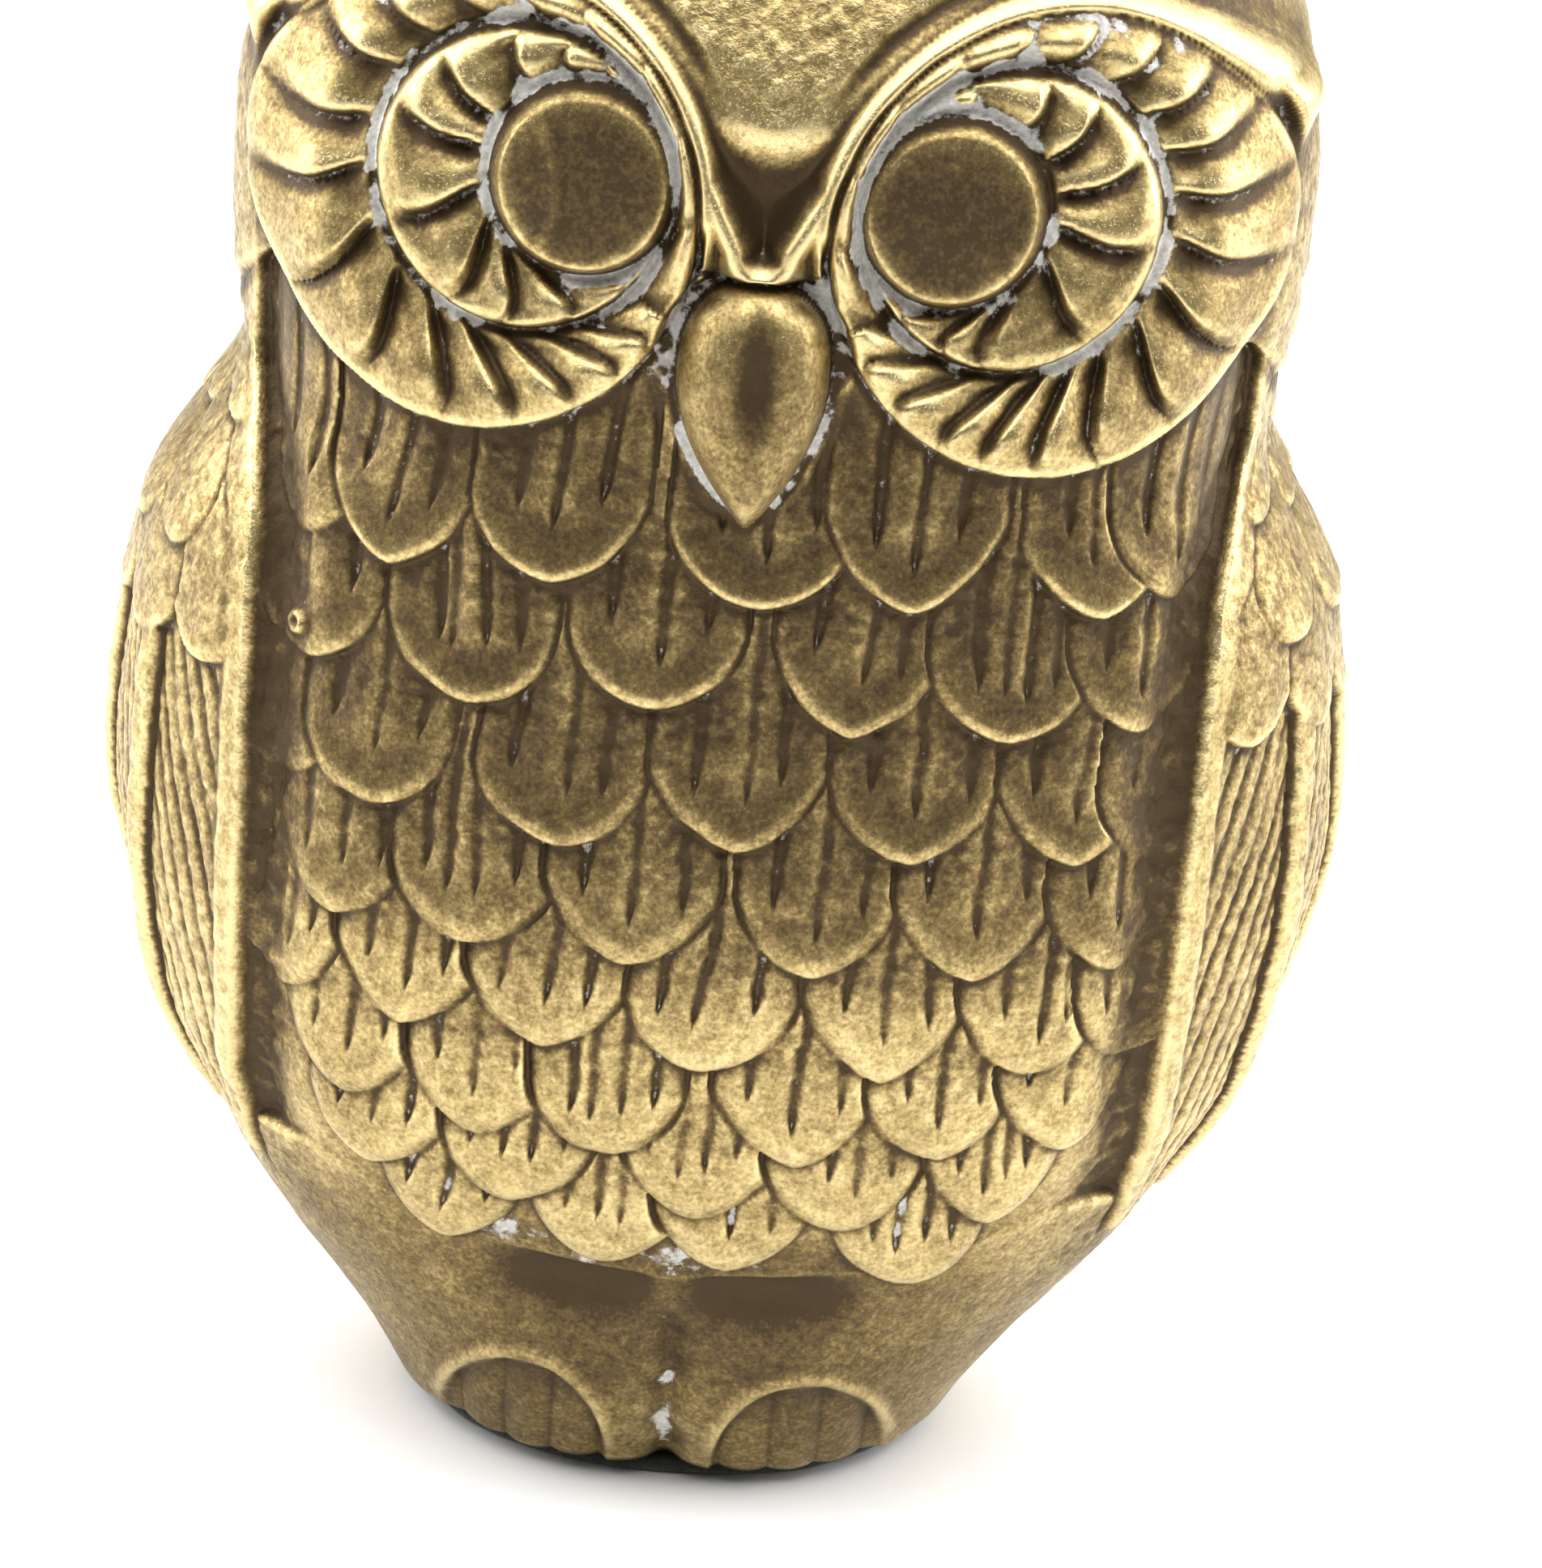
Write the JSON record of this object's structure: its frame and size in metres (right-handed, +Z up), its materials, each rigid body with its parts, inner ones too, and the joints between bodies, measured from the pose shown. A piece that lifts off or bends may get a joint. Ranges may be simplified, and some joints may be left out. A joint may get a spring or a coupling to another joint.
{
  "type": "owl figurine",
  "caption": "Free-standing owl figurine: two hollow brass castings brazed at the sides, a soldered base plate and a felt pad under the foot.",
  "frame": {"origin": "middle of the felt's underside, under the figurine", "axes": "+Z up, the owl faces -Y, +X is the viewer's right when facing it"},
  "size_m": [0.075, 0.0586, 0.106],
  "materials": {
    "cast_brass": "antiqued cast brass, worn bright on the high spots, dark brown in the recesses",
    "braze": "dressed brazing filler",
    "sheet_brass": "dull sheet",
    "solder": "grey soft solder",
    "felt": "matte wool felt"
  },
  "bodies": {
    "root": {"front_casting": "cast_brass", "back_casting": "cast_brass", "seam_braze": "braze", "base_plate": "sheet_brass", "base_solder": "solder", "felt_pad": "felt"}
  },
  "joints": []
}
